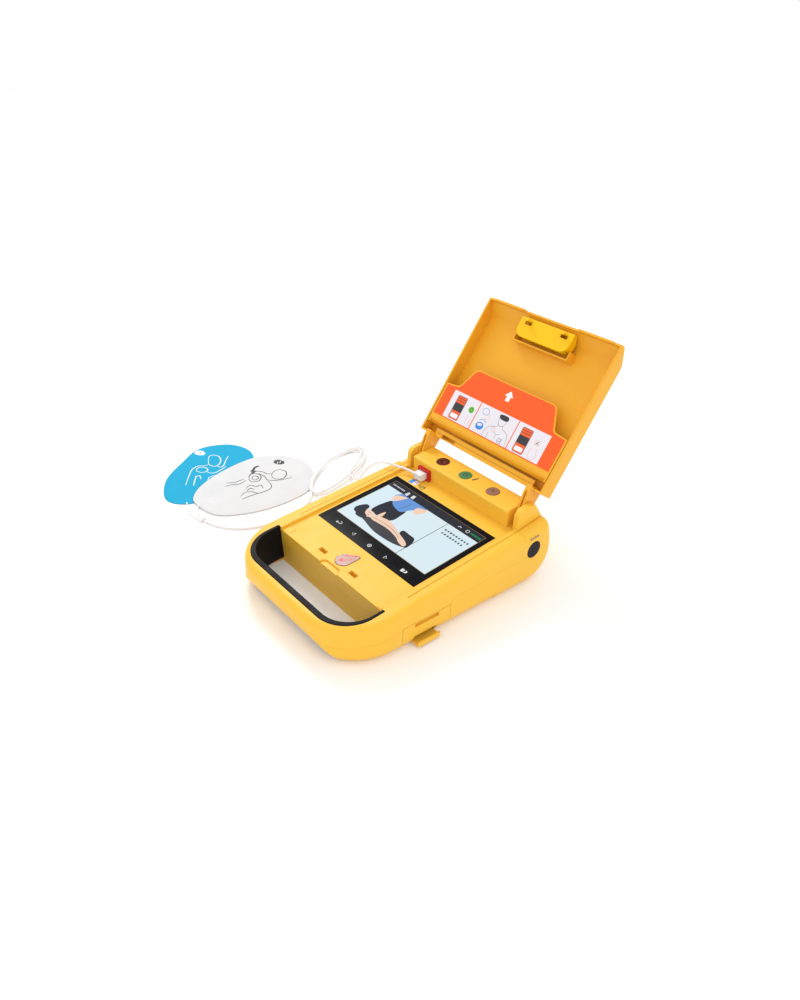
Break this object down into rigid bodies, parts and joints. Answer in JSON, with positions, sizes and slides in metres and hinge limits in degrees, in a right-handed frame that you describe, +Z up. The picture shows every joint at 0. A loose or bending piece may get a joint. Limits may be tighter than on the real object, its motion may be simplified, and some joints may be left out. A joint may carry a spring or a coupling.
{
  "type": "automated external defibrillator",
  "caption": "Portable defibrillator with a hinged lid, carry handle, screen, shock key, side battery and plugged-in electrode pads.",
  "frame": {"origin": "centre of the casing's flat underside, on the surface it stands on", "axes": "+Z up, +Y from the carry handle to the lid's hinge, +X to the battery's side"},
  "size_m": [0.5117, 0.3894, 0.2661],
  "materials": {
    "case_yellow": "fine moulded texture, yellow",
    "lid_yellow": "fine moulded texture, yellow",
    "latch_yellow": "satin, bright yellow",
    "grip_rubber": "soft overmoulded rubber",
    "label_orange": "printed film",
    "red_plastic": "satin red-orange",
    "screen_black": "coated glass with a lit picture",
    "dark_plastic": "satin near-black",
    "green_plastic": "translucent green",
    "pink_grey": "satin pinkish grey",
    "bronze": "dished bronze ring",
    "steel": "bright steel",
    "rubber_grey": "moulded rubber",
    "lead_white": "thin white jacket",
    "rubber_black": "moulded rubber",
    "board_green": "circuit board",
    "can_metal": "sleeved can",
    "gold": "plated contact",
    "pad_blue": "liner film over gel",
    "pad_white": "foam backing",
    "plug_white": "satin white"
  },
  "bodies": {
    "case": {"bay_contacts": "gold", "blue_pad": "pad_blue", "blue_pad_lead": "lead_white", "case_screws": "steel", "case_seal": "rubber_grey", "charging_transformer": "dark_plastic", "console_board": "board_green", "console_switches": "dark_plastic", "data_port": "dark_plastic", "deck_screw_caps": "case_yellow", "discharge_capacitor": "can_metal", "display_panel": "dark_plastic", "foot_pads": "rubber_grey", "grip_liner": "grip_rubber", "hinge_pin_left": "steel", "hinge_pin_right": "steel", "lead_coil": "lead_white", "lead_yoke": "lead_white", "lower_case": "case_yellow", "main_board": "board_green", "pads_lead_in": "lead_white", "pads_lead_out": "lead_white", "pads_plug": "plug_white", "pads_socket": "red_plastic", "screen_glass": "screen_black", "shock_board": "board_green", "shock_switch": "dark_plastic", "speaker": "dark_plastic", "speaker_lens": "bronze", "status_lamp": "green_plastic", "upper_case": "case_yellow", "white_pad": "pad_white", "white_pad_lead": "lead_white"},
    "lid": {"lid_shell": "lid_yellow", "latch_guide": "lid_yellow", "lid_tray": "lid_yellow", "tray_label": "label_orange"},
    "latch": {"lid_latch": "latch_yellow"},
    "battery": {"battery_end_cap": "case_yellow", "battery_case": "dark_plastic", "battery_cells": "can_metal", "battery_contacts": "gold"},
    "battery_tab": {"battery_latch": "case_yellow"},
    "shock_key": {"shock_button": "label_orange"},
    "power_key": {"power_button": "green_plastic"},
    "mode_key": {"mode_button": "pink_grey"},
    "cap": {"port_cap": "rubber_black"}
  },
  "joints": [
    {"name": "lid_hinge", "type": "hinge", "parent": "case", "child": "lid", "pos_m": [0, 0.12081, 0.08309], "axis": [1, 0, 0], "range_deg": [0, 114]},
    {"name": "latch_slide", "type": "slide", "parent": "lid", "child": "latch", "axis": [0, -0.5592, -0.829], "range_m": [0, 0.0035], "stiffness_N_per_m": 600, "springref_m": -0.002},
    {"name": "battery_slide", "type": "slide", "parent": "case", "child": "battery", "axis": [1, 0, 0], "range_m": [0, 0.12]},
    {"name": "battery_tab_press", "type": "slide", "parent": "battery", "child": "battery_tab", "axis": [0, 0, 1], "range_m": [0, 0.0025], "stiffness_N_per_m": 600, "springref_m": -0.002},
    {"name": "shock_press", "type": "slide", "parent": "case", "child": "shock_key", "axis": [0, 0.1045, -0.9945], "range_m": [0, 0.0012], "stiffness_N_per_m": 500, "springref_m": -0.001},
    {"name": "power_press", "type": "slide", "parent": "case", "child": "power_key", "axis": [0, 0.1045, -0.9945], "range_m": [0, 0.0012], "stiffness_N_per_m": 500, "springref_m": -0.001},
    {"name": "mode_press", "type": "slide", "parent": "case", "child": "mode_key", "axis": [0, 0.1045, -0.9945], "range_m": [0, 0.0012], "stiffness_N_per_m": 500, "springref_m": -0.001},
    {"name": "cap_pull", "type": "slide", "parent": "case", "child": "cap", "axis": [1, 0, 0], "range_m": [0, 0.008]}
  ]
}
